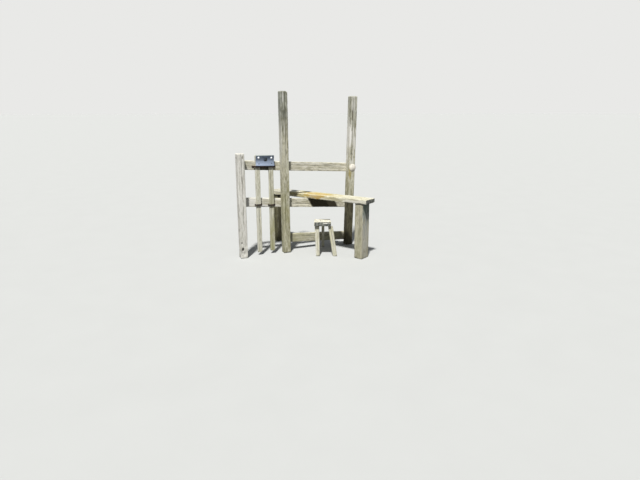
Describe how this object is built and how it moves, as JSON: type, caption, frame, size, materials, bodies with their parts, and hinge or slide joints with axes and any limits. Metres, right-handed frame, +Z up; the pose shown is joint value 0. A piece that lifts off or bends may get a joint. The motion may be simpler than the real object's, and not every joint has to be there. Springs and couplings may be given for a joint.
{
  "type": "wooden stile with a lift-up dog gate",
  "caption": "Wooden crossing stile: tall posts with rails, a long tread laid across the fence, a short lower step on stakes, and a slatted dog gate that slides up.",
  "frame": {"origin": "middle of the left tall post's foot, on the ground", "axes": "+X along the fence to the right, +Y across it to the far side, +Z up"},
  "size_m": [1.3699, 1.2772, 1.698],
  "materials": {
    "post_wood": "weathered sawn softwood, grey-beige, no coating",
    "pale_wood": "bleached pale grey softwood",
    "rail_wood": "weathered sawn rail",
    "tread_wood": "sun-bleached tread with yellow lichen",
    "stake_wood": "pale split stake",
    "slat_wood": "weathered planed batten",
    "galvanised_sheet": "dull galvanised sheet, blue-grey",
    "guide_steel": "dark weathered flat bar",
    "bolt_steel": "bright zinc dome head",
    "disc_plastic": "faded off-white disc"
  },
  "bodies": {
    "stile": {"left_tall_post": "post_wood", "right_tall_post": "post_wood", "left_short_post": "pale_wood", "top_rail": "rail_wood", "middle_rail": "rail_wood", "bottom_rail": "rail_wood", "upper_tread": "tread_wood", "upper_tread_near_leg": "post_wood", "upper_tread_far_leg": "post_wood", "lower_tread": "tread_wood", "lower_tread_left_stake": "stake_wood", "lower_tread_right_stake": "stake_wood", "lower_tread_rear_stake": "stake_wood", "left_lower_guide": "guide_steel", "right_lower_guide": "guide_steel", "upper_guide": "guide_steel", "waymark_disc": "disc_plastic"},
    "dog_gate": {"gate_left_slat": "slat_wood", "gate_right_slat": "slat_wood", "gate_cross_bar": "slat_wood", "gate_handle_plate": "galvanised_sheet", "gate_left_bolt": "bolt_steel", "gate_right_bolt": "bolt_steel"}
  },
  "joints": [
    {"name": "dog_gate_lift", "type": "slide", "parent": "stile", "child": "dog_gate", "axis": [0, 0, 1], "range_m": [0, 0.4]}
  ]
}
